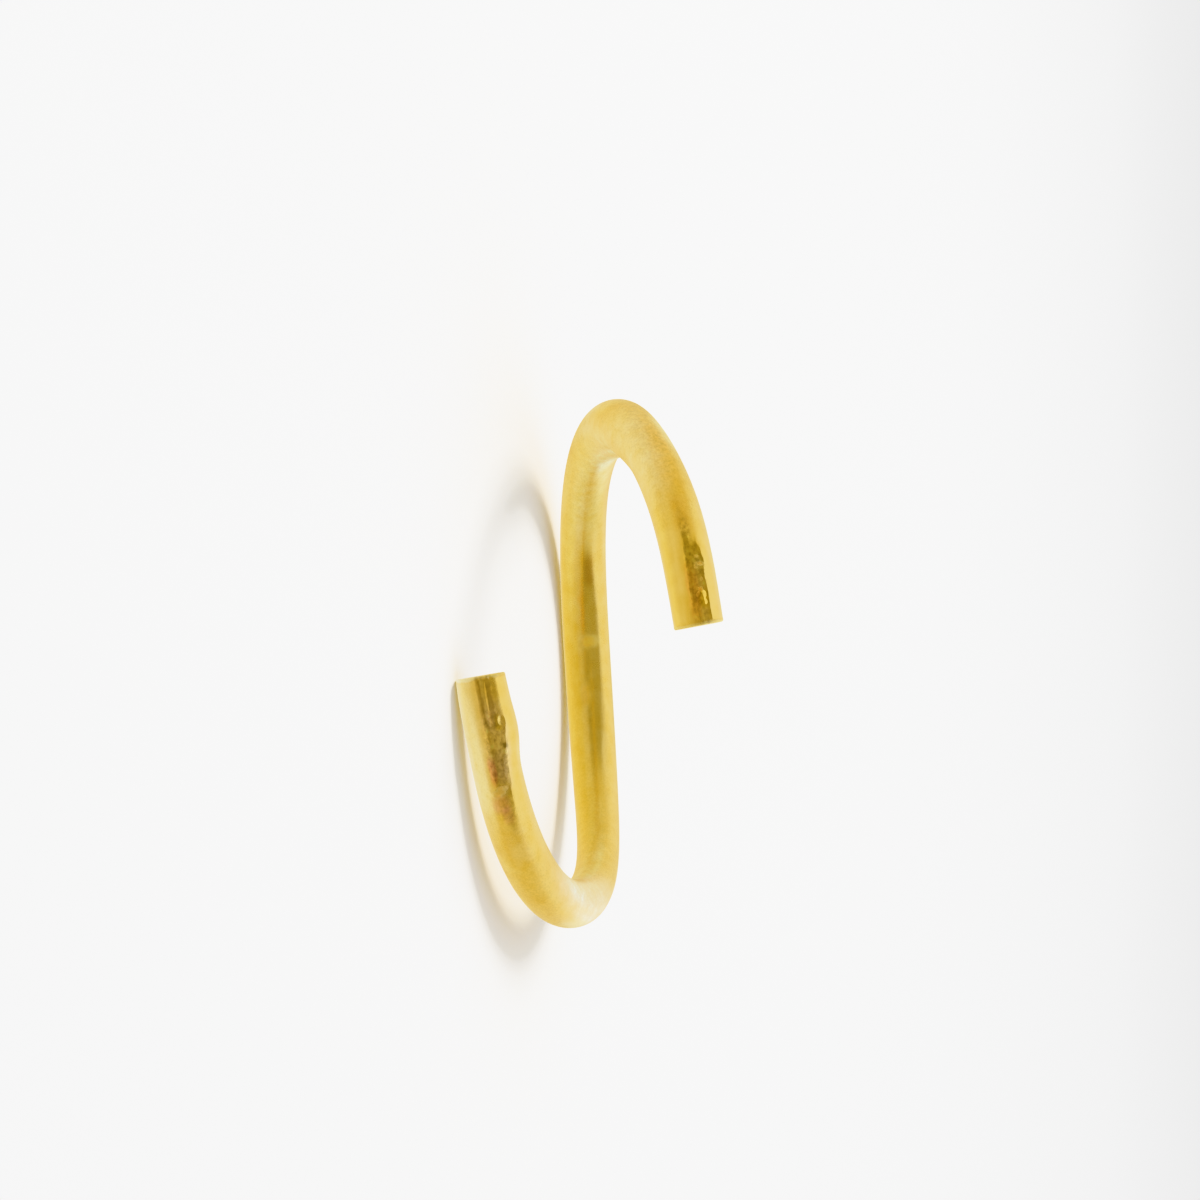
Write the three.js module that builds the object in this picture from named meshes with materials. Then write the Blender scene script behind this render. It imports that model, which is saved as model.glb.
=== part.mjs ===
// Helix hoop: a plain hoop of round gold wire for the rim of the ear.
//
// It is one piece. A round wire runs once round an open circle and stops at two flat cut
// ends, which have been twisted apart sideways so that the hoop can be put in.
// It lies on its side, as it does on a table: the lower cut end and the outside of the
// back touch the floor, and the other cut end is in the air above the first.
//
// Millimetres, +Z up, the floor at Z = 0, the gap between the two ends facing -Y.

import * as THREE from "three";
import { mergeVertices } from "three/addons/utils/BufferGeometryUtils.js";

// Driving dimensions.
const WIRE_DIAMETER = 1.0;
const INNER_DIAMETER = 9.0;
const HOOP_RADIUS = (INNER_DIAMETER + WIRE_DIAMETER) / 2; // to the middle of the wire
const LOWER_END = -175.8; // degrees from the middle of the back round to the lower cut end
const UPPER_END = 176.5; // and to the upper one
const EDGE_ROUND = 0.04; // the dressed edge round each cut face

// The upper end is cut a little out of square: in degrees, how much longer the wire is
// left on the outside of the hoop than on the inside, and on its lower side than on its
// upper side. The last few degrees of turn take up the slant.
const CUT_LEAN = 6.5;
const CUT_SKEW = 2.0;
const SLANT_START = 168.0;

// The hoop's pose on the floor.
const TIP = 11.8; // degrees that the front is raised
const LEAN = 3.0; // degrees that the right side is raised

// How finely the wire is faceted.
const SIDES = 24;
const STEPS = 84;
const EDGE_STEPS = 2;

// The wire from its lower end to its upper end. turn is the angle round the hoop from the
// middle of the back in degrees, aside is how far the wire stands out of the hoop's plane
// and thick is its hand-drawn diameter there, both in millimetres.
const STATIONS = [
  { turn: -176, aside: -2.15, thick: 0.99 },
  { turn: -168, aside: -2.07, thick: 1.05 },
  { turn: -162, aside: -2.0, thick: 1.07 },
  { turn: -157, aside: -1.98, thick: 1.01 },
  { turn: -150, aside: -1.92, thick: 0.99 },
  { turn: -120, aside: -1.41, thick: 1.03 },
  { turn: -90, aside: -0.69, thick: 1.02 },
  { turn: -60, aside: -0.14, thick: 0.92 },
  { turn: -30, aside: -0.02, thick: 0.98 },
  { turn: 0, aside: 0.0, thick: 1.03 },
  { turn: 30, aside: 0.06, thick: 1.02 },
  { turn: 60, aside: 0.32, thick: 1.02 },
  { turn: 90, aside: 0.86, thick: 1.09 },
  { turn: 120, aside: 1.46, thick: 1.01 },
  { turn: 150, aside: 2.02, thick: 1.02 },
  { turn: 176, aside: 2.26, thick: 1.0 },
];

const GOLD = new THREE.MeshStandardMaterial({
  color: new THREE.Color(0.86, 0.63, 0.2),
  roughness: 0.25,
  metalness: 1.0,
});

// A natural cubic spline through one column of the stations: it returns a function that
// gives the column's value and its slope per degree at any turn.
function splineThrough(column) {
  const x = STATIONS.map((row) => row.turn);
  const y = STATIONS.map((row) => row[column]);
  const last = x.length - 1;
  const bend = new Array(x.length).fill(0); // second derivative at each station
  const ratio = new Array(x.length).fill(0);
  for (let i = 1; i < last; i += 1) {
    const before = x[i] - x[i - 1];
    const after = x[i + 1] - x[i];
    const turnIn = (y[i + 1] - y[i]) / after - (y[i] - y[i - 1]) / before;
    const pivot = 2 * (before + after) - before * ratio[i - 1];
    ratio[i] = after / pivot;
    bend[i] = (6 * turnIn - before * bend[i - 1]) / pivot;
  }
  for (let i = last - 1; i > 0; i -= 1) {
    bend[i] -= ratio[i] * bend[i + 1];
  }
  return (turn) => {
    let i = 0;
    while (i < last - 1 && turn > x[i + 1]) {
      i += 1;
    }
    const span = x[i + 1] - x[i];
    const b = (turn - x[i]) / span;
    const a = 1 - b;
    const arch = ((a ** 3 - a) * bend[i] + (b ** 3 - b) * bend[i + 1]) * span ** 2;
    const archSlope = ((3 * b ** 2 - 1) * bend[i + 1] - (3 * a ** 2 - 1) * bend[i]) * span;
    return {
      value: a * y[i] + b * y[i + 1] + arch / 6,
      slope: (y[i + 1] - y[i]) / span + archSlope / 6,
    };
  };
}

const asideAt = splineThrough("aside");
const thickAt = splineThrough("thick");

// The wire's own axes at a turn: its middle, the direction away from the hoop's centre,
// the direction along the wire, and the direction square to both.
function wireAxes(turn) {
  const angle = THREE.MathUtils.degToRad(turn);
  const outward = new THREE.Vector3(-Math.sin(angle), Math.cos(angle), 0);
  const aside = asideAt(turn);
  const slope = THREE.MathUtils.radToDeg(aside.slope); // per radian of turn
  const middle = outward.clone().multiplyScalar(HOOP_RADIUS);
  middle.z = aside.value;
  const along = new THREE.Vector3(-Math.cos(angle), -Math.sin(angle), slope / HOOP_RADIUS);
  along.normalize();
  const across = outward.clone().cross(along);
  return { middle, outward, along, across };
}

// Half of the wire's profile with its length laid out as turn: the lower cut face, its
// rounded edge, the long side, and the same again at the upper end.
function straightProfile() {
  const edgeTurn = THREE.MathUtils.radToDeg(EDGE_ROUND / HOOP_RADIUS);
  const sideStart = LOWER_END + edgeTurn;
  const sideEnd = UPPER_END - edgeTurn;
  const points = [new THREE.Vector2(0, LOWER_END)];
  for (let i = 0; i <= EDGE_STEPS; i += 1) {
    const angle = (i / EDGE_STEPS) * (Math.PI / 2);
    const inset = EDGE_ROUND * (1 - Math.sin(angle));
    const turn = sideStart - edgeTurn * Math.cos(angle);
    points.push(new THREE.Vector2(thickAt(turn).value / 2 - inset, turn));
  }
  for (let i = 1; i < STEPS; i += 1) {
    const turn = sideStart + ((sideEnd - sideStart) * i) / STEPS;
    points.push(new THREE.Vector2(thickAt(turn).value / 2, turn));
  }
  for (let i = EDGE_STEPS; i >= 0; i -= 1) {
    const angle = (i / EDGE_STEPS) * (Math.PI / 2);
    const inset = EDGE_ROUND * (1 - Math.sin(angle));
    const turn = sideEnd + edgeTurn * Math.cos(angle);
    points.push(new THREE.Vector2(thickAt(turn).value / 2 - inset, turn));
  }
  points.push(new THREE.Vector2(0, UPPER_END));
  return points;
}

// The turn of a point of the wire once the upper end's slanting cut is taken in. out and
// side are the point's distances from the wire's middle, outward and across.
function slantedTurn(turn, out, side) {
  const share = THREE.MathUtils.clamp((turn - SLANT_START) / (UPPER_END - SLANT_START), 0, 1);
  const lean = Math.tan(THREE.MathUtils.degToRad(CUT_LEAN));
  const skew = Math.tan(THREE.MathUtils.degToRad(CUT_SKEW));
  const longer = share * (lean * out - skew * side);
  return turn + THREE.MathUtils.radToDeg(longer / (HOOP_RADIUS + out));
}

// The straight round wire, bent along the hoop's centre line.
function bentWire() {
  const geometry = new THREE.LatheGeometry(straightProfile(), SIDES);
  const position = geometry.getAttribute("position");
  const point = new THREE.Vector3();
  for (let i = 0; i < position.count; i += 1) {
    point.fromBufferAttribute(position, i);
    const turn = slantedTurn(point.y, point.x, point.z);
    const { middle, outward, across } = wireAxes(turn);
    middle.addScaledVector(outward, point.x).addScaledVector(across, point.z);
    position.setXYZ(i, middle.x, middle.y, middle.z);
  }
  geometry.deleteAttribute("normal");
  geometry.deleteAttribute("uv");
  const closed = mergeVertices(geometry, 1e-5);
  closed.computeVertexNormals();
  return closed;
}

const wire = new THREE.Mesh(bentWire(), GOLD);
wire.name = "hoop_wire";

// Rotated to its pose on the floor, then set down with the floor at Z = 0 and the
// middle of its footprint at X = Y = 0.
wire.rotation.set(-THREE.MathUtils.degToRad(TIP), -THREE.MathUtils.degToRad(LEAN), 0, "YXZ");
wire.updateMatrixWorld();
const reach = new THREE.Box3().setFromObject(wire, true);
const middleOfFootprint = reach.getCenter(new THREE.Vector3());
wire.position.set(-middleOfFootprint.x, -middleOfFootprint.y, -reach.min.z);

const helixHoop = new THREE.Group();
helixHoop.add(wire);

export default helixHoop;
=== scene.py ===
"""The helix hoop: one round gold wire, bent into an open hoop that lies on its side.

The wire is made straight, as a grid of rings, then bent along the hoop's centre line
and set down in the pose of the CAD solid. Lengths are in millimetres until a mesh or an
object is made, and MM turns them into Blender's metres.
"""

import math

import bpy
import numpy as np
from mathutils import Matrix, Vector, noise


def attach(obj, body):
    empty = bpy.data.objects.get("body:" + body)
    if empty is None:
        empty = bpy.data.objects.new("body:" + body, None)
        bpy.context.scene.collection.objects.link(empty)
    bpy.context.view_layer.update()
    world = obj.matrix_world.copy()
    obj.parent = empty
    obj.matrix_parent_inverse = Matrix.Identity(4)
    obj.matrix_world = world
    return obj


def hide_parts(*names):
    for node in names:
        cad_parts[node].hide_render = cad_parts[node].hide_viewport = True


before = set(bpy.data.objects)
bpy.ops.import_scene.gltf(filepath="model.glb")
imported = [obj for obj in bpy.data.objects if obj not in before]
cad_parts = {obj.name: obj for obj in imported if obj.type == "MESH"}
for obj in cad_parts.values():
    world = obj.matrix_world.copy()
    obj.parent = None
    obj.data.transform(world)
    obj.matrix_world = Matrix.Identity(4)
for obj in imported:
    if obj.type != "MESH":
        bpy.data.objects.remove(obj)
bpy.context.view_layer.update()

MM = 0.001

# The hoop, as in the CAD source. Turns are in degrees round the hoop from the middle of
# its back.
WIRE_DIAMETER = 1.0
INNER_DIAMETER = 9.0
HOOP_RADIUS = (INNER_DIAMETER + WIRE_DIAMETER) / 2  # to the middle of the wire
LOWER_END = -175.8
UPPER_END = 176.5
EDGE_ROUND = 0.04  # the dressed edge round each cut face
CUT_LEAN = math.radians(6.5)  # how far the upper cut is out of square, outward
CUT_SKEW = math.radians(2.0)  # and sideways
SLANT_START = 168.0  # the turn from which the wire takes up the slant of that cut
TIP = math.radians(11.8)  # how far the front is raised
LEAN = math.radians(3.0)  # how far the right side is raised

# The wire from its lower end to its upper end. aside is how far it stands out of the
# hoop's plane, and thick is its diameter. The rows repeat the CAD source's, which were not
# chosen by hand: from -120 on they are the rounded result of a fit to the photo's outline,
# and the five before them follow measurements against it.
STATIONS = (
    # turn, aside, thick
    (-176, -2.15, 0.99),
    (-168, -2.07, 1.05),
    (-162, -2.00, 1.07),
    (-157, -1.98, 1.01),
    (-150, -1.92, 0.99),
    (-120, -1.41, 1.03),
    (-90, -0.69, 1.02),
    (-60, -0.14, 0.92),
    (-30, -0.02, 0.98),
    (0, 0.00, 1.03),
    (30, 0.06, 1.02),
    (60, 0.32, 1.02),
    (90, 0.86, 1.09),
    (120, 1.46, 1.01),
    (150, 2.02, 1.02),
    (176, 2.26, 1.00),
)

# How finely the wire is made: rings between turns, and sides between round angles. The
# fronts of both ends are polished, so they get the most.
RING_SPANS = (
    # from turn, to turn, rings
    (-175.3, -138.0, 250),
    (-138.0, 150.0, 430),
    (150.0, 176.0, 172),
)
SIDE_SPANS = (
    # from round angle, to round angle, sides
    (-40.0, 46.0, 60),
    (46.0, 320.0, 48),
)
EDGE_STEPS = 4  # round the edge of each cut face
FACE_RINGS = 8  # across each cut face
FACE_RADIUS = 0.45  # everything nearer the wire's middle than this is on a cut face

# The camera, in the hoop's own frame before it is set down. Its place, roll, aim and the
# width of its view come from such fits too.
CAMERA_DISTANCE = 87.0
CAMERA_TURN = math.radians(3.4)  # to one side of the gap
CAMERA_ROLL = math.radians(4.16)
AIM_RIGHT = 0.26  # from the hoop's middle to the point it aims at
AIM_UP = 1.36
VIEW_WIDTH = 25.33  # what the frame takes in at the hoop's middle
SENSOR_WIDTH = 36.0
NEAR_CLIP = 5.0
FAR_CLIP = 5000.0

# The light tent that the gold mirrors, as soft-edged patches laid over one another. turn
# is the angle to the right of the camera and rise the angle above it, as the hoop sees
# them in the picture: the camera lies on its side, so the picture's right is up in the
# room. half_turn and half_rise are half the patch's size, and soft_left and soft_right
# are the widths of its edge on either side as a share of that.
TENT_RADIUS = 400.0
TENT_BASE = (0.84, 0.79, 0.58)
TENT = (
    # turn, rise, half_turn, half_rise, soft_left, soft_right, colour
    (-150, 0, 55, 42, 0.8, 0.8, (0.98, 0.97, 0.76)),  # the back of the tent on the left
    (-105, -38, 40, 22, 0.9, 0.9, (0.95, 0.99, 0.96)),  # a pale panel low on the left
    (150, 0, 42, 48, 0.7, 0.7, (0.94, 0.96, 0.82)),  # the back of the tent on the right
    (100, -2, 42, 50, 0.5, 0.5, (1.01, 1.06, 1.20)),  # the soft light overhead
    (152, -26, 20, 18, 0.9, 0.9, (1.25, 1.42, 1.80)),  # a small lamp behind
    (4, -3, 58, 66, 0.6, 0.6, (0.75, 0.66, 0.39)),  # the shade round the opening
    (-3, 43, 17, 24, 0.4, 0.15, (0.42, 0.36, 0.19)),  # a notch at the top of the opening
    (48, 31, 21, 19, 0.3, 0.12, (0.42, 0.36, 0.19)),  # its top right corner
    (24, -6, 43, 58, 0.4, 0.06, (0.42, 0.36, 0.19)),  # the opening that the camera looks through
    (26, -2, 30, 42, 0.6, 0.6, (0.50, 0.44, 0.27)),  # the room beyond it
)

# The soft box that casts the hoop's shadow, the even light all round, and the floor.
SOFT_BOX_PLACE = (-110.0, 20.0, 150.0)
SOFT_BOX_SIZE = 90.0
SOFT_BOX_WATTS = 0.30
WORLD_STRENGTH = 0.93
FLOOR_REACH = 900.0
FLOOR_COLOUR = (0.92, 0.92, 0.92, 1.0)
FLOOR_ROUGHNESS = 0.9

# How square the patches are, on the gold and in the tent: 2 makes an ellipse.
PATCH_SQUARENESS = 3

# What time and the maker's tools have done to the gold. along is the distance along the
# wire from the middle of the back in millimetres, and round is the angle round the wire
# in degrees, 0 on the outside of the hoop. Half sizes are in millimetres, and a half_round
# of 9 goes all the way round. Past the ends, at -15.34 and 15.40, along goes on over the
# cut faces towards their middles. soft is how soft a patch's edge is, from 0 to 1.

# How matt the gold is along the wire, and how strong its grain is.
FINISH = (
    # along, roughness, grain
    (-15.42, 0.34, 0.8),  # the lower cut face
    (-15.34, 0.06, 0.4),  # the polished lower end
    (-13.3, 0.07, 0.5),
    (-12.3, 0.24, 0.7),
    (-11.0, 0.42, 1.0),  # the matt lower bend
    (-6.0, 0.42, 1.0),
    (-3.5, 0.34, 0.7),
    (0.0, 0.29, 0.45),  # the smoother back
    (3.0, 0.26, 0.6),
    (5.0, 0.42, 1.0),  # the matt upper bend
    (7.5, 0.52, 1.0),
    (9.5, 0.46, 1.0),
    (11.5, 0.42, 1.0),
    (13.1, 0.27, 0.8),
    (13.75, 0.08, 0.3),  # the polished upper end
    (15.40, 0.06, 0.2),
    (15.48, 0.34, 0.8),  # the upper cut face
)

# Places where the gold is duller or brighter than FINISH says. A row lies over the rows
# above it.
DULLED = (
    # along, round, half_along, half_round, soft, roughness
    # scuffs on the polished lower end
    (-12.84, 0, 0.24, 0.18, 0.9, 0.40),
    (-13.10, -8, 0.07, 0.08, 0.9, 0.80),
    (-13.17, 4, 0.08, 0.08, 0.9, 0.80),
    (-13.20, 14, 0.05, 0.06, 0.9, 0.60),
    (-14.85, 28, 0.50, 0.09, 0.9, 0.30),
    (-14.56, 5, 0.14, 0.05, 0.9, 0.60),
    (-14.20, 22, 0.12, 0.08, 0.9, 0.25),
    (-13.55, 25, 0.30, 0.05, 0.9, 0.40),
    (-14.30, -38, 1.10, 0.24, 0.9, 0.24),
    # a dull band and matt places inside the back
    (0.86, 176, 0.15, 0.18, 1.0, 0.80),
    (-0.45, 190, 0.28, 0.11, 0.9, 0.70),
    (-5.40, 176, 1.40, 0.18, 1.0, 0.52),
    # scuffs on the polished upper end
    (13.45, 3, 0.22, 0.11, 1.0, 0.45),
    (15.32, -9, 0.24, 0.12, 0.8, 0.50),
    (14.30, 23, 0.04, 0.07, 0.9, 0.80),
    (14.34, 12, 0.06, 0.04, 0.9, 0.60),
    (14.16, 17, 0.03, 0.05, 0.9, 0.50),
    (14.78, 14, 0.04, 0.05, 0.9, 0.80),
    (14.60, 20, 0.04, 0.04, 0.9, 0.40),
    (15.06, 3, 0.10, 0.05, 0.9, 0.40),
    (15.25, 5, 0.12, 0.03, 0.9, 0.40),
    # the rubbed edges of the cut faces
    (15.38, 0, 0.05, 9.00, 0.9, 0.50),
    (-15.32, 0, 0.05, 9.00, 0.9, 0.50),
)

# Places where the gold is paler, redder or greyer, as a share of its own colour. Some are
# stains; most of the paler places, and some darker and warmer ones, are painted highlights
# and painted shade, which stand in for the light that the gold mirrors. Rows that overlap
# multiply.
STAINS_AND_PAINTED_LIGHT = (
    # along, round, half_along, half_round, soft, colour
    # the lower end: copper-red stains, darker grey lines and spots, and painted highlights
    (-14.95, -8, 0.45, 0.045, 0.9, (0.74, 0.71, 0.66)),
    (-14.90, 6, 0.50, 0.18, 1.0, (1.02, 1.03, 1.35)),
    (-14.82, 14, 0.46, 0.055, 0.9, (0.73, 0.71, 0.68)),
    (-14.48, 12, 0.16, 0.04, 0.9, (0.86, 0.84, 0.75)),
    (-14.45, 21, 0.14, 0.06, 0.8, (1.00, 0.97, 0.60)),
    (-14.20, -54, 1.60, 0.34, 0.8, (1.05, 1.19, 2.20)),
    (-14.20, -70, 1.60, 0.12, 1.0, (1.00, 1.03, 1.35)),
    (-14.04, 28, 0.04, 0.05, 0.9, (0.62, 0.62, 0.62)),
    (-13.95, 12, 0.80, 0.22, 0.8, (1.00, 1.03, 1.60)),
    (-13.62, 8, 0.30, 0.14, 0.9, (0.88, 0.88, 1.10)),
    (-13.55, -8, 0.24, 0.07, 0.9, (1.08, 0.82, 1.00)),
    (-13.13, 2, 0.10, 0.18, 0.9, (1.05, 1.13, 1.50)),
    (-12.87, -2, 0.18, 0.17, 0.9, (0.98, 0.86, 1.25)),
    (-12.62, 7, 0.18, 0.11, 0.9, (0.98, 0.88, 1.15)),
    # painted highlights on the lower bend, and painted shade where it is warmer
    (-12.10, -32, 0.50, 0.20, 1.0, (0.97, 0.93, 0.88)),
    (-11.90, 10, 0.50, 0.20, 1.0, (1.00, 1.02, 1.25)),
    (-9.10, 102, 0.70, 0.20, 1.0, (1.00, 1.06, 1.25)),
    (-8.90, 46, 0.80, 0.24, 1.0, (1.00, 0.98, 0.86)),
    (-8.40, 110, 1.80, 0.50, 1.0, (1.10, 1.28, 3.00)),
    (-8.20, 24, 0.80, 0.24, 1.0, (1.03, 1.15, 1.90)),
    # painted highlights and painted shade along the back: paler, warmer and darker places
    (-6.20, 170, 1.30, 0.12, 1.0, (1.06, 1.17, 1.60)),
    (-5.60, 180, 2.00, 0.22, 1.0, (1.02, 1.10, 1.35)),
    (-3.50, 178, 0.70, 0.20, 1.0, (0.97, 0.94, 0.84)),
    (-1.50, 232, 4.20, 0.36, 1.0, (0.99, 0.97, 0.80)),
    (-0.45, 188, 0.28, 0.10, 1.0, (1.08, 1.10, 1.10)),
    (0.00, 178, 4.00, 0.26, 1.0, (1.00, 1.05, 1.20)),
    (0.00, 100, 1.60, 0.12, 1.0, (0.95, 0.96, 0.85)),
    (0.60, 194, 3.40, 0.08, 1.0, (1.00, 1.03, 1.30)),
    (0.86, 168, 0.15, 0.20, 1.0, (1.12, 1.22, 1.42)),
    (1.70, 188, 0.60, 0.05, 0.9, (1.04, 0.93, 0.85)),
    (2.70, 168, 0.40, 0.10, 0.9, (0.86, 0.77, 0.72)),
    # painted highlights and painted shade inside the upper bend: paler and warmer places
    (4.40, 142, 0.80, 0.24, 1.0, (0.95, 0.93, 0.80)),
    (4.40, 130, 1.50, 0.20, 1.0, (0.96, 0.94, 0.85)),
    (5.00, 252, 0.90, 0.12, 1.0, (1.02, 1.07, 1.30)),
    (5.20, 178, 1.60, 0.34, 1.0, (1.04, 1.17, 1.75)),
    (6.05, 174, 0.30, 0.08, 1.0, (1.06, 1.13, 1.45)),
    (6.70, 220, 0.80, 0.30, 1.0, (1.04, 1.10, 1.30)),
    (6.90, 170, 0.70, 0.14, 1.0, (1.00, 1.09, 1.40)),
    (7.10, 171, 0.30, 0.08, 1.0, (1.02, 1.06, 1.25)),
    (7.40, 178, 1.00, 0.22, 1.0, (1.08, 1.19, 1.85)),
    (7.50, 242, 0.60, 0.20, 1.0, (0.98, 0.97, 0.85)),
    (8.15, 188, 0.35, 0.10, 1.0, (1.05, 1.06, 1.15)),
    (8.70, 232, 1.40, 0.42, 1.0, (1.08, 1.21, 2.10)),
    # and painted highlights and painted shade on the outside of the upper bend
    (7.40, -66, 0.90, 0.30, 1.0, (1.03, 1.12, 1.62)),
    (7.60, 20, 1.20, 0.60, 1.0, (1.03, 1.09, 1.75)),
    (8.40, -25, 0.70, 0.30, 1.0, (1.04, 1.12, 1.40)),
    (9.20, -50, 1.00, 0.40, 1.0, (1.02, 1.01, 0.92)),
    (10.70, 62, 0.70, 0.30, 1.0, (1.05, 1.15, 1.60)),
    (10.90, 50, 0.80, 0.26, 1.0, (1.03, 1.08, 1.40)),
    (11.10, -44, 1.50, 0.42, 1.0, (1.07, 1.22, 2.30)),
    (11.80, 8, 1.20, 0.22, 1.0, (1.00, 0.95, 0.85)),
    # the upper end: grey and reddish places, and painted highlights where it is paler
    (13.30, 4, 0.40, 0.18, 0.9, (0.98, 0.93, 0.90)),
    (14.30, -42, 1.20, 0.26, 1.0, (1.01, 1.04, 1.16)),
    (14.30, 18, 0.12, 0.12, 0.9, (1.00, 1.04, 1.10)),
    (14.60, -18, 0.90, 0.12, 1.0, (1.03, 1.04, 1.12)),
    (14.80, 18, 0.65, 0.10, 0.9, (0.98, 0.98, 1.20)),
    (14.80, -2, 0.45, 0.11, 0.9, (1.04, 0.88, 0.90)),
    (14.92, 5, 0.12, 0.06, 0.9, (0.72, 0.70, 0.75)),
    (14.95, 19, 0.16, 0.11, 0.6, (1.00, 0.94, 0.55)),
    # a painted highlight round the edges of the cut faces
    (-15.33, 0, 0.04, 9.00, 0.9, (1.05, 1.20, 1.80)),
    (15.39, 0, 0.04, 9.00, 0.9, (1.05, 1.20, 1.80)),
)
TINT_STRAY = 0.03  # how far the tints' edges wander
TINT_STRAY_SIZE = 0.22  # over what distance

# Places where tarnish and dirt stay in the surface.
SOILED = (
    # along, round, half_along, half_round, soft, strength
    # the lower end
    (-14.95, 10, 0.45, 0.22, 0.6, 0.45),
    (-14.00, 10, 0.78, 0.22, 0.4, 1.00),
    (-12.75, 10, 0.32, 0.20, 0.8, 0.50),
    # the upper bend and the upper end
    (10.80, 5, 1.80, 0.25, 1.0, 0.30),
    (13.60, 4, 0.28, 0.10, 0.8, 0.80),
    (14.65, 10, 0.82, 0.19, 0.4, 1.00),
)

# Dents, lumps and scratches that stand out from the round wire, or in where rise is
# below 0.
MARKS = (
    # along, round, half_along, half_round, rise
    # a drawn line, dents and a small swelling near the lower end
    (-15.28, 22, 0.05, 0.05, -0.017),
    (-14.95, 4, 0.60, 0.07, -0.025),
    (-14.46, 29, 0.13, 0.08, -0.026),
    (-13.60, 8, 0.50, 0.32, -0.008),
    (-13.13, -8, 0.08, 0.24, 0.01),
    # a long shallow dent inside the back
    (-1.80, 147, 1.60, 0.16, -0.011),
    # the wire pressed thicker inside the upper bend
    (7.80, 145, 1.40, 0.55, 0.16),
    (9.80, 255, 1.50, 0.55, 0.10),
    # two lumps near the upper end, and a faint one beside them
    (14.15, 41, 0.35, 0.16, 0.012),
    (14.88, 14, 0.11, 0.11, 0.036),
    (15.01, 17, 0.08, 0.09, 0.031),
)
MARK_SHOULDER = 1.4  # 1 makes a mark a cone, and more rounds its top and its foot
MARK_STRAY = 0.014  # how far the marks' edges wander

# The ripple at both ends, of fine and broad blotches. Squeezing the wire before their
# noise is read draws them out along it.
RIPPLE = 0.0015  # its height
RIPPLE_START = 12.4  # how far from the middle of the back it starts
RIPPLE_FADE = 1.2  # and over what length it sets in
FINE_RIPPLE_SIZE = 0.10
FINE_RIPPLE_SQUEEZE = (0.5, 1, 1)
BROAD_RIPPLE_SIZE = 0.32
BROAD_RIPPLE_SQUEEZE = (0.7, 1, 1)

# The gold's own colour, from its deepest to its palest.
DEEP_GOLD = (0.870, 0.597, 0.127, 1.0)
PALE_GOLD = (0.930, 0.690, 0.207, 1.0)

# The noises in the gold: blotches to a millimetre along the wire, outward and across it.
BLOTCH_SCALE = (2.6, 3.2, 3.2)
GRAIN_SCALE = (5.5, 6.5, 6.5)
FROST_SCALE = (22.0, 26.0, 26.0)
DRAWN_SCALE = (0.9, 24.0, 24.0)
TARNISH_SCALE = (11.0, 14.0, 14.0)
SAWN_SCALE = (0.0, 30.0, 1.6)
PLAIN_DETAIL = 2.0
FINE_DETAIL = 3.0

# How much each noise changes the colour, the roughness and the height of the bumps, which
# is a share of BUMP_DEPTH.
BLOTCH_COLOUR = 1.5
GRAIN_COLOUR = 1.5
FROST_COLOUR = 0.3
DUST_SHADE = 0.30
DIRT_SHADE = 1.4
GRAIN_ROUGHNESS = 0.4
DRAWN_HEIGHT = 0.08
GRAIN_HEIGHT = 0.5
TARNISH_HEIGHT = 0.08
SAWN_HEIGHT = 0.5
BUMP_DEPTH = 0.012


# ---------------------------------------------------------------- the wire's course


def natural_spline(column):
    """The value and the slope per degree of one column of the stations, at any turns."""
    x = np.array([row[0] for row in STATIONS], float)
    y = np.array([row[column] for row in STATIONS], float)
    gap = np.diff(x)
    count = len(x)
    system = np.eye(count)
    right_side = np.zeros(count)
    for i in range(1, count - 1):
        system[i, i - 1 : i + 2] = (gap[i - 1], 2 * (gap[i - 1] + gap[i]), gap[i])
        right_side[i] = 6 * ((y[i + 1] - y[i]) / gap[i] - (y[i] - y[i - 1]) / gap[i - 1])
    bend = np.linalg.solve(system, right_side)

    def at(turn):
        turn = np.asarray(turn, float)
        i = np.clip(np.searchsorted(x, turn) - 1, 0, count - 2)
        b = (turn - x[i]) / gap[i]
        a = 1 - b
        arch = ((a**3 - a) * bend[i] + (b**3 - b) * bend[i + 1]) * gap[i] ** 2 / 6
        arch_slope = ((3 * b**2 - 1) * bend[i + 1] - (3 * a**2 - 1) * bend[i]) * gap[i] / 6
        return a * y[i] + b * y[i + 1] + arch, (y[i + 1] - y[i]) / gap[i] + arch_slope

    return at


aside_at = natural_spline(1)
thick_at = natural_spline(2)


def wire_axes(turn):
    """The wire's middle and its outward and across directions, at each turn."""
    angle = np.radians(turn)
    zero = np.zeros_like(angle)
    outward = np.stack([-np.sin(angle), np.cos(angle), zero], -1)
    aside, slope = aside_at(turn)
    middle = outward * HOOP_RADIUS
    middle[..., 2] = aside
    rise = np.degrees(slope) / HOOP_RADIUS
    along = np.stack([-np.cos(angle), -np.sin(angle), rise], -1)
    along /= np.linalg.norm(along, axis=-1, keepdims=True)
    return middle, outward, np.cross(outward, along)


def slanted_turn(turn, out, side):
    """The turn of each point once the upper end's slanting cut is taken in."""
    share = np.clip((turn - SLANT_START) / (UPPER_END - SLANT_START), 0, 1)
    longer = share * (math.tan(CUT_LEAN) * out - math.tan(CUT_SKEW) * side)
    return turn + np.degrees(longer / (HOOP_RADIUS + out))


# ---------------------------------------------------------------- the wire's surface
#
# straight holds the points of the straight wire, one to a row: along, outward and across.


def patch_share(across, up, soft):
    """How much of a soft-edged patch is at each place: 1 inside and 0 outside.

    across and up are the distances from its middle, as shares of its half sizes.
    """
    reach = np.abs(across) ** PATCH_SQUARENESS + np.abs(up) ** PATCH_SQUARENESS
    reach **= 1 / PATCH_SQUARENESS
    share = np.clip((1 - reach) / soft + 0.5, 0, 1)
    return share * share * (3 - 2 * share)


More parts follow.
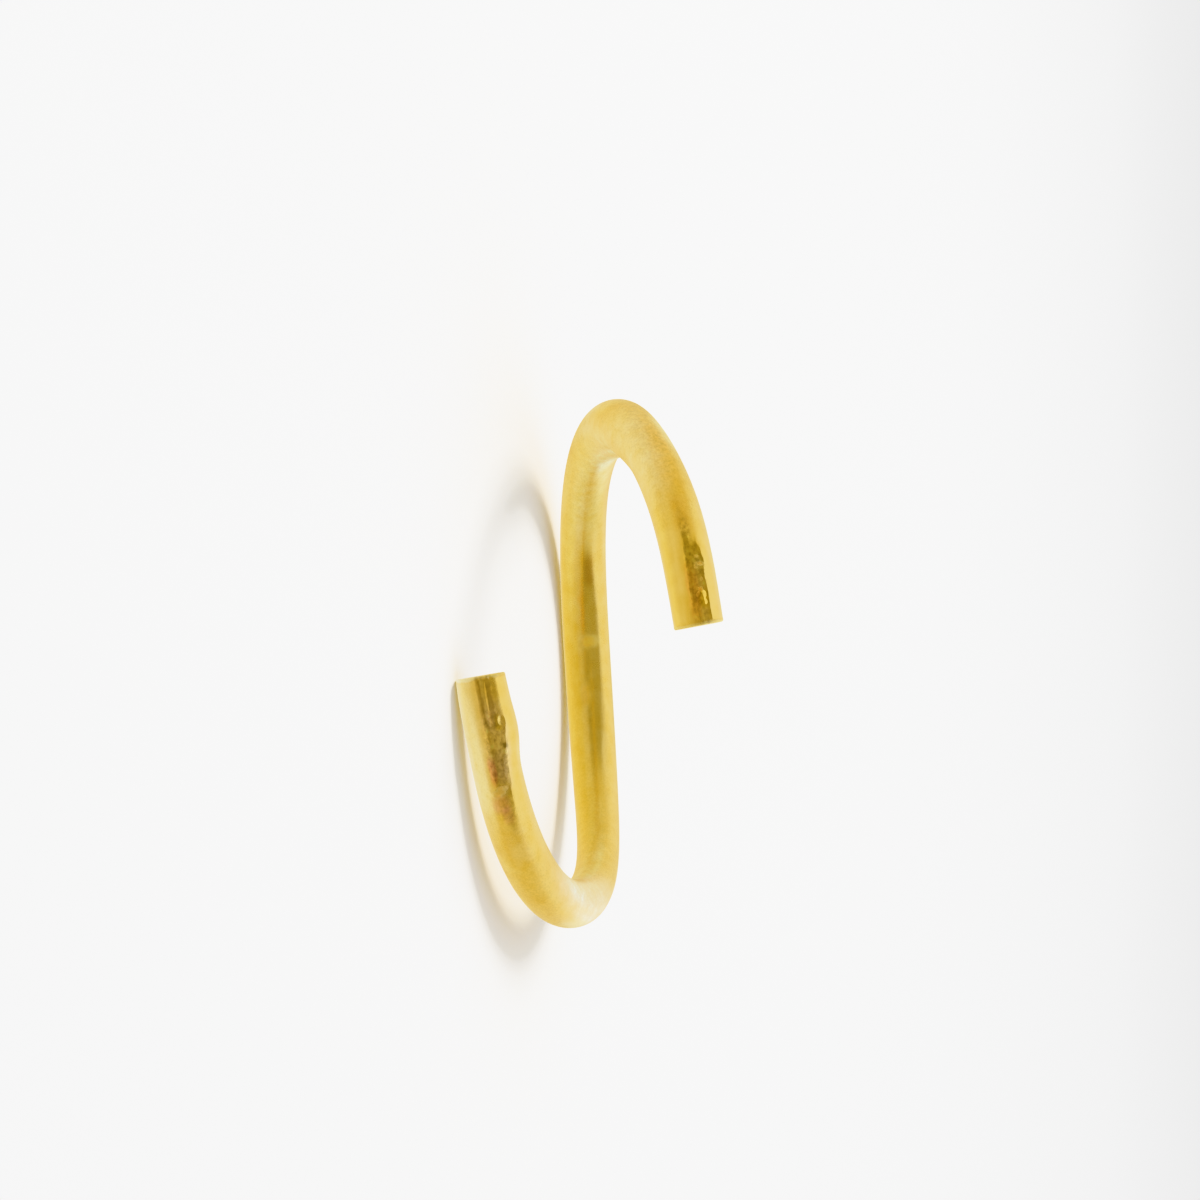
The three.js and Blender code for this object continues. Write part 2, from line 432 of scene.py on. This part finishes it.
def skin_length(straight):
    """Each point's distance along the wire, which goes on over the cut faces."""
    radius = np.hypot(straight[:, 1], straight[:, 2])
    return straight[:, 0] + np.sign(straight[:, 0]) * np.maximum(FACE_RADIUS - radius, 0)


def mark_offsets(straight, along, round_mid, half_along, half_round, stray=0.0):
    """The distances of each point from the middle of a mark, in its half sizes.

    stray is how far the mark's edges wander at each point, in millimetres.
    """
    angle = np.arctan2(straight[:, 2], straight[:, 1]) - math.radians(round_mid)
    angle = (angle + math.pi) % (2 * math.pi) - math.pi
    lengthwise = (skin_length(straight) - along) / half_along
    crosswise = angle * WIRE_DIAMETER / 2 / half_round
    return lengthwise + stray / half_along, crosswise + stray / half_round


def ragged(straight, size):
    """A smooth noise of about -1 to 1 over the wire, with blotches of a size in mm."""
    return np.array([noise.noise(Vector(point) / size) for point in straight])


def relief(straight):
    """How far each point of the side stands out from the round wire."""
    fine = ragged(straight * FINE_RIPPLE_SQUEEZE, FINE_RIPPLE_SIZE)
    broad = ragged(straight * BROAD_RIPPLE_SQUEEZE, BROAD_RIPPLE_SIZE)
    at_ends = np.clip((np.abs(straight[:, 0]) - RIPPLE_START) / RIPPLE_FADE, 0, 1)
    height = at_ends * RIPPLE * (fine + broad)
    for *place, rise in MARKS:
        u, v = mark_offsets(straight, *place, stray=MARK_STRAY * fine)
        reach = np.minimum(np.hypot(u, v), 1)
        height += rise * (1 - reach**MARK_SHOULDER) ** MARK_SHOULDER
    return height


def tint_colours(straight):
    """The gold's colour at each point, as a share of its own: its stains, and its painted highlights
    and painted shade.
    """
    colour = np.ones((len(straight), 3))
    stray = TINT_STRAY * ragged(straight, TINT_STRAY_SIZE)
    for *place, soft, tint in STAINS_AND_PAINTED_LIGHT:
        u, v = mark_offsets(straight, *place, stray=stray)
        share = patch_share(u, v, soft)[:, None]
        colour = colour * (1 - share + share * np.array(tint))
    return colour


def finish_values(straight):
    """The roughness, the grain's strength and the soiling at each point."""
    where, rough, grain = np.array(FINISH).T
    roughness = np.interp(skin_length(straight), where, rough)
    strength = np.interp(skin_length(straight), where, grain)
    for *place, soft, dull in DULLED:
        share = patch_share(*mark_offsets(straight, *place), soft)
        roughness = roughness * (1 - share) + dull * share
    soiling = np.zeros(len(straight))
    for *place, soft, dirt in SOILED:
        share = patch_share(*mark_offsets(straight, *place), soft)
        soiling = np.maximum(soiling, dirt * share)
    return np.stack([roughness, strength, soiling], 1)


# ---------------------------------------------------------------- the wire's mesh


def edge_rings(side_turn, edge_turn):
    """The rings of a rounded edge, from the cut face to the wire's side."""
    rows = []
    for i in range(EDGE_STEPS + 1):
        angle = i / EDGE_STEPS * math.pi / 2
        rows.append((side_turn + edge_turn * math.cos(angle), 1, EDGE_ROUND * (1 - math.sin(angle))))
    return rows


def ring_table():
    """One row for each ring: its turn, its share of the radius, and its inset."""
    edge_turn = math.degrees(EDGE_ROUND / HOOP_RADIUS)
    face_shares = [i / FACE_RINGS for i in range(1, FACE_RINGS)]
    rows = [(LOWER_END, share, EDGE_ROUND) for share in face_shares]
    rows += edge_rings(LOWER_END + edge_turn, -edge_turn)
    for first, last, count in RING_SPANS:
        rows += [(turn, 1, 0) for turn in np.linspace(first, last, count, endpoint=False)]
    rows.append((RING_SPANS[-1][1], 1, 0))
    rows += reversed(edge_rings(UPPER_END - edge_turn, edge_turn))
    rows += [(UPPER_END, share, EDGE_ROUND) for share in reversed(face_shares)]
    return np.array(rows)


def wire_grid():
    """The turn, out and side of every point of the wire, a row for each ring.

    out and side are the distances from the wire's middle, outward and across.
    """
    turns, shares, insets = ring_table().T
    spans = [np.linspace(first, last, count, endpoint=False) for first, last, count in SIDE_SPANS]
    turn, angle = np.meshgrid(turns, np.radians(np.concatenate(spans)), indexing="ij")
    outward = np.cos(angle)
    across = np.sin(angle)
    even = WIRE_DIAMETER / 2
    round_wire = np.stack([np.radians(turn) * HOOP_RADIUS, even * outward, even * across], -1)
    radius = (thick_at(turns)[0] / 2 - insets)[:, None]
    radius = (radius + relief(round_wire.reshape(-1, 3)).reshape(turn.shape)) * shares[:, None]
    return turn, radius * outward, radius * across


def tube_faces(rings, sides):
    """The faces of a closed tube of rings.

    Its last two points are the middles of its first and of its last ring.
    """
    first_middle = rings * sides
    last_middle = first_middle + 1
    last_ring = (rings - 1) * sides
    faces = []
    for start in range(0, last_ring, sides):
        for j in range(sides):
            k = (j + 1) % sides
            faces.append((start + j, start + sides + j, start + sides + k, start + k))
    for j in range(sides):
        k = (j + 1) % sides
        faces.append((first_middle, j, k))
        faces.append((last_middle, last_ring + k, last_ring + j))
    return faces


def wire_mesh():
    """The bent wire as a mesh, with the pose and the move that set it down."""
    turn, out, side = wire_grid()
    straight = np.stack([np.radians(turn) * HOOP_RADIUS, out, side], -1).reshape(-1, 3)
    middle, outward, across = wire_axes(slanted_turn(turn, out, side))
    points = middle + out[..., None] * outward + side[..., None] * across

    end_turns = np.array([LOWER_END, UPPER_END])
    points = np.concatenate([points.reshape(-1, 3), wire_axes(end_turns)[0]])
    straight_ends = [(end * HOOP_RADIUS, 0, 0) for end in np.radians(end_turns)]
    straight = np.concatenate([straight, straight_ends])

    pose = Matrix.Rotation(-LEAN, 3, "Y") @ Matrix.Rotation(-TIP, 3, "X")
    points = points @ np.array(pose).T
    low, high = points.min(0), points.max(0)
    set_down = -np.array([(low[0] + high[0]) / 2, (low[1] + high[1]) / 2, low[2]])
    points = (points + set_down) * MM

    mesh = bpy.data.meshes.new("hoop_wire_fine")
    mesh.from_pydata(points.tolist(), [], tube_faces(*turn.shape))
    surface = {
        "straight": straight,
        "tint": tint_colours(straight),
        "finish": finish_values(straight),
    }
    for name, values in surface.items():
        attribute = mesh.attributes.new(name, "FLOAT_VECTOR", "POINT")
        attribute.data.foreach_set("vector", values.astype(np.float32).ravel())
    mesh.polygons.foreach_set("use_smooth", [True] * len(mesh.polygons))
    mesh.validate()
    mesh.update()
    return mesh, pose, Vector(set_down)


# ---------------------------------------------------------------- gold


def new_material(name):
    """A material with nodes, and its shader."""
    material = bpy.data.materials.new(name)
    material.use_nodes = True
    return material, material.node_tree.nodes["Principled BSDF"]


def add_node(tree, kind, inputs=None, **settings):
    """Adds a node with its settings, and gives its inputs values or links by name."""
    made = tree.nodes.new(kind)
    for name, value in settings.items():
        setattr(made, name, value)
    for name, value in (inputs or {}).items():
        if isinstance(value, bpy.types.NodeSocket):
            tree.links.new(value, made.inputs[name])
        else:
            made.inputs[name].default_value = value
    return made


def surface_values(tree, name):
    """What one of the mesh's attributes holds."""
    return add_node(tree, "ShaderNodeAttribute", attribute_name=name).outputs["Vector"]


def product(tree, first, second):
    """Two numbers multiplied."""
    return add_node(tree, "ShaderNodeMath", {0: first, 1: second}, operation="MULTIPLY").outputs[0]


def weighted(tree, value, weight, base):
    """A number times its weight, on top of a base."""
    inputs = {0: value, 1: weight, 2: base}
    return add_node(tree, "ShaderNodeMath", inputs, operation="MULTIPLY_ADD").outputs[0]


def centred_noise(tree, straight, scale, detail=PLAIN_DETAIL):
    """A noise round 0 with so many blotches to a millimetre along, outward and across."""
    scaled = add_node(tree, "ShaderNodeVectorMath", {0: straight, 1: scale}, operation="MULTIPLY")
    inputs = {"Vector": scaled.outputs[0], "Scale": 1.0, "Detail": detail}
    cloud = add_node(tree, "ShaderNodeTexNoise", inputs).outputs["Fac"]
    return add_node(tree, "ShaderNodeMath", {0: cloud, 1: 0.5}, operation="SUBTRACT").outputs[0]


def saw_marks(tree, straight):
    """The fine lines that a saw left on the cut faces, and nothing on the wire's side."""
    lines = centred_noise(tree, straight, SAWN_SCALE)
    flat = add_node(tree, "ShaderNodeVectorMath", {0: straight, 1: (0, 1, 1)}, operation="MULTIPLY")
    radius = add_node(tree, "ShaderNodeVectorMath", {0: flat.outputs[0]}, operation="LENGTH")
    inputs = {0: radius.outputs["Value"], 1: FACE_RADIUS}
    on_face = add_node(tree, "ShaderNodeMath", inputs, operation="LESS_THAN")
    return product(tree, lines, on_face.outputs[0])


def gold_material():
    """Worn yellow gold, from the mesh's attributes and noises that follow the wire."""
    material, shader = new_material("worn_yellow_gold")
    shader.inputs["Metallic"].default_value = 1.0
    tree = material.node_tree

    straight = surface_values(tree, "straight")
    finish = add_node(tree, "ShaderNodeSeparateXYZ", {0: surface_values(tree, "finish")})
    roughness, strength, soiling = finish.outputs["X"], finish.outputs["Y"], finish.outputs["Z"]

    blotch = centred_noise(tree, straight, BLOTCH_SCALE)
    grain = centred_noise(tree, straight, GRAIN_SCALE, FINE_DETAIL)
    frost = centred_noise(tree, straight, FROST_SCALE)
    drawn = centred_noise(tree, straight, DRAWN_SCALE)
    tarnish = centred_noise(tree, straight, TARNISH_SCALE, FINE_DETAIL)
    crust = product(tree, tarnish, soiling)

    # Colour: halfway between deep and pale gold, and more or less so in blotches and grain.
    mottle = weighted(tree, blotch, BLOTCH_COLOUR, 0.5)
    speckle = weighted(tree, grain, GRAIN_COLOUR, product(tree, frost, FROST_COLOUR))
    paleness = weighted(tree, speckle, strength, mottle)
    inputs = {"Factor": paleness, "A": DEEP_GOLD, "B": PALE_GOLD}
    alloy = add_node(tree, "ShaderNodeMix", inputs, data_type="RGBA").outputs["Result"]
    # The stains and the painted highlights and painted shade, from the mesh, multiply it.
    inputs = {"Factor": 1.0, "A": alloy, "B": surface_values(tree, "tint")}
    tinted = add_node(tree, "ShaderNodeMix", inputs, data_type="RGBA", blend_type="MULTIPLY")

    # Frost and dirt make it lighter and darker.
    shade = weighted(tree, product(tree, frost, strength), DUST_SHADE, 1.0)
    shade = weighted(tree, crust, DIRT_SHADE, shade)
    inputs = {0: tinted.outputs["Result"], "Scale": shade}
    colour = add_node(tree, "ShaderNodeVectorMath", inputs, operation="SCALE")
    tree.links.new(colour.outputs["Vector"], shader.inputs["Base Color"])

    # Finish: matt where the wire was bent and tumbled, and uneven in its grain.
    uneven = weighted(tree, grain, GRAIN_ROUGHNESS, 1.0)
    tree.links.new(product(tree, roughness, uneven), shader.inputs["Roughness"])

    # Bumps: drawn lines, grain, crusts of tarnish, and saw marks on the cut faces.
    grit = product(tree, product(tree, grain, strength), strength)
    height = weighted(tree, drawn, DRAWN_HEIGHT, product(tree, grit, GRAIN_HEIGHT))
    height = weighted(tree, crust, TARNISH_HEIGHT, height)
    height = weighted(tree, saw_marks(tree, straight), SAWN_HEIGHT, height)
    inputs = {"Strength": 1.0, "Distance": BUMP_DEPTH * MM, "Height": height}
    bump = add_node(tree, "ShaderNodeBump", inputs)
    tree.links.new(bump.outputs["Normal"], shader.inputs["Normal"])
    return material


# ---------------------------------------------------------------- stage


def add_object(name, data):
    """Makes an object of a mesh, a light or a camera, and puts it in the scene."""
    made = bpy.data.objects.new(name, data)
    bpy.context.scene.collection.objects.link(made)
    return made


def glow_material(name, attribute):
    """A surface that only glows, in the colours of one of its mesh's attributes."""
    material, shader = new_material(name)
    material.cycles.emission_sampling = "NONE"
    tree = material.node_tree
    tree.nodes.remove(shader)
    colour = add_node(tree, "ShaderNodeAttribute", attribute_name=attribute)
    glow = add_node(tree, "ShaderNodeEmission", {"Color": colour.outputs["Color"]})
    tree.links.new(glow.outputs[0], tree.nodes["Material Output"].inputs["Surface"])
    return material


def tent_colours(turn, rise):
    """The tent's light at each turn and rise in degrees."""
    colour = np.ones(turn.shape + (3,)) * TENT_BASE
    for mid_turn, mid_rise, half_turn, half_rise, soft_left, soft_right, patch in TENT:
        across = ((turn - mid_turn + 180) % 360 - 180) / half_turn
        soft = soft_left + (soft_right - soft_left) * np.clip((across + 1) / 2, 0, 1)
        share = patch_share(across, (rise - mid_rise) / half_rise, soft)[..., None]
        colour = colour * (1 - share) + np.array(patch) * share
    return colour


def light_tent(middle, right, up, near):
    """A ball of light round the hoop that only its reflections show.

    It has a ring of points at each degree of rise, and one more at each pole.
    """
    rise, turn = np.meshgrid(np.arange(-89.0, 90.0), np.arange(-180.0, 180.0), indexing="ij")
    shape = turn.shape
    turn = np.append(turn, (0.0, 0.0))
    rise = np.append(rise, (-90.0, 90.0))
    level = np.cos(np.radians(rise))
    rightward = level * np.sin(np.radians(turn))
    nearward = level * np.cos(np.radians(turn))
    direction = np.column_stack([rightward, np.sin(np.radians(rise)), nearward])
    points = middle + TENT_RADIUS * MM * (direction @ np.array([right, up, near]))
    colours = np.column_stack([tent_colours(turn, rise), np.ones(len(turn))])

    mesh = bpy.data.meshes.new("light_tent")
    mesh.from_pydata(points.tolist(), [], tube_faces(*shape))
    glow = mesh.attributes.new("glow", "FLOAT_COLOR", "POINT")
    glow.data.foreach_set("color", colours.astype(np.float32).ravel())
    mesh.materials.append(glow_material("tent_glow", "glow"))
    tent = add_object("light_tent", mesh)
    tent.visible_camera = False
    tent.visible_diffuse = False
    tent.visible_transmission = False
    tent.visible_shadow = False


def pale_floor():
    """The plain floor, which the gold doesn't mirror."""
    reach = FLOOR_REACH * MM
    corners = [(-reach, -reach, 0), (reach, -reach, 0), (reach, reach, 0), (-reach, reach, 0)]
    mesh = bpy.data.meshes.new("floor")
    mesh.from_pydata(corners, [], [(0, 1, 2, 3)])
    material, shader = new_material("pale_floor")
    shader.inputs["Base Color"].default_value = FLOOR_COLOUR
    shader.inputs["Roughness"].default_value = FLOOR_ROUGHNESS
    shader.inputs["Specular IOR Level"].default_value = 0.0
    mesh.materials.append(material)
    floor = add_object("floor", mesh)
    floor.visible_glossy = False


def soft_box():
    """The soft light from above that casts the hoop's shadow. The gold mirrors the tent."""
    data = bpy.data.lights.new("soft_box", "AREA")
    data.shape = "DISK"
    data.size = SOFT_BOX_SIZE * MM
    data.energy = SOFT_BOX_WATTS
    light = add_object("soft_box", data)
    place = Vector(SOFT_BOX_PLACE) * MM
    facing = place.to_track_quat("Z", "Y").to_matrix().to_4x4()
    light.matrix_world = Matrix.Translation(place) @ facing
    light.visible_glossy = False


def even_world():
    """The even white light all round."""
    world = bpy.data.worlds.new("even_white")
    bpy.context.scene.world = world
    world.use_nodes = True
    background = world.node_tree.nodes["Background"]
    background.inputs["Color"].default_value = (1, 1, 1, 1)
    background.inputs["Strength"].default_value = WORLD_STRENGTH


# ---------------------------------------------------------------- camera


def view_axes(pose):
    """The directions ahead, right and up of the camera, once the hoop is set down."""
    ahead = pose @ Vector((-math.sin(CAMERA_TURN), math.cos(CAMERA_TURN), 0))
    level_up = pose @ Vector((-math.cos(CAMERA_TURN), -math.sin(CAMERA_TURN), 0))
    level_right = pose @ Vector((0, 0, 1))
    right = level_right * math.cos(CAMERA_ROLL) - level_up * math.sin(CAMERA_ROLL)
    up = level_right * math.sin(CAMERA_ROLL) + level_up * math.cos(CAMERA_ROLL)
    return ahead, right, up


def front_camera(hoop_middle, ahead, right, up):
    """The camera on the side of the gap, aimed a little past the hoop's middle."""
    data = bpy.data.cameras.new("camera")
    data.sensor_width = SENSOR_WIDTH
    data.lens = SENSOR_WIDTH * CAMERA_DISTANCE / VIEW_WIDTH
    data.clip_start = NEAR_CLIP * MM
    data.clip_end = FAR_CLIP * MM
    place = hoop_middle - ahead * CAMERA_DISTANCE * MM
    aim = hoop_middle + (right * AIM_RIGHT + up * AIM_UP) * MM
    forward = (aim - place).normalized()
    sideways = forward.cross(up).normalized()
    upright = sideways.cross(forward)
    facing = Matrix((sideways, upright, -forward)).transposed().to_4x4()
    camera = add_object("camera", data)
    camera.matrix_world = Matrix.Translation(place) @ facing
    bpy.context.scene.camera = camera


# ---------------------------------------------------------------- the scene

mesh, pose, set_down = wire_mesh()
mesh.materials.append(gold_material())
hoop = add_object("hoop_wire_gold", mesh)
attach(hoop, "root")
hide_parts("hoop_wire")

hoop_middle = set_down * MM  # the hoop is bent round the origin before it is set down
ahead, right, up = view_axes(pose)
front_camera(hoop_middle, ahead, right, up)
light_tent(np.array(hoop_middle), np.array(right), np.array(up), -np.array(ahead))
pale_floor()
soft_box()
even_world()

# The view transform that keeps the gold's colour as it is.
bpy.context.scene.view_settings.view_transform = "Khronos PBR Neutral"
